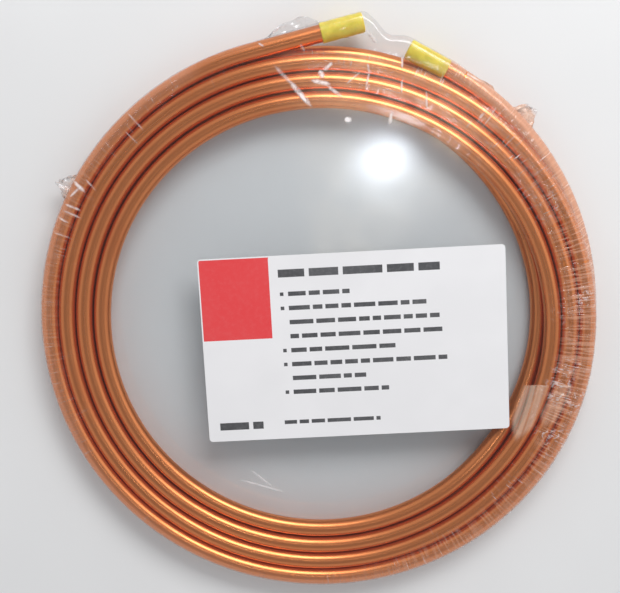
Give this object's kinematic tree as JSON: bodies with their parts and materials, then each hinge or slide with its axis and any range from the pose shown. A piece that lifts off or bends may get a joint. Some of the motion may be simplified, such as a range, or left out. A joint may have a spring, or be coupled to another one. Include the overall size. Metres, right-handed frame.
{
  "type": "copper tube coil",
  "caption": "Flat two-layer coil of soft copper tube with a vinyl cap on each end, bagged in clear shrink film with a paper label on the front.",
  "frame": {"origin": "on the coil's axis, at the underside of the film that the coil lies on", "axes": "+Z along the coil's axis, from its plain back to its labelled front; +Y towards the side where both tube ends lie; +X to the right as the label is read"},
  "size_m": [0.3128, 0.3247, 0.0193],
  "materials": {
    "copper": "bright drawn copper",
    "cap_vinyl": "soft glossy vinyl",
    "clear_film": "clear, glossy and slightly milky",
    "label_paper": "smooth coated paper"
  },
  "bodies": {
    "root": {"copper_tube": "copper", "end_cap_front": "cap_vinyl", "end_cap_rear": "cap_vinyl", "shrink_film": "clear_film", "label": "label_paper"}
  },
  "joints": []
}
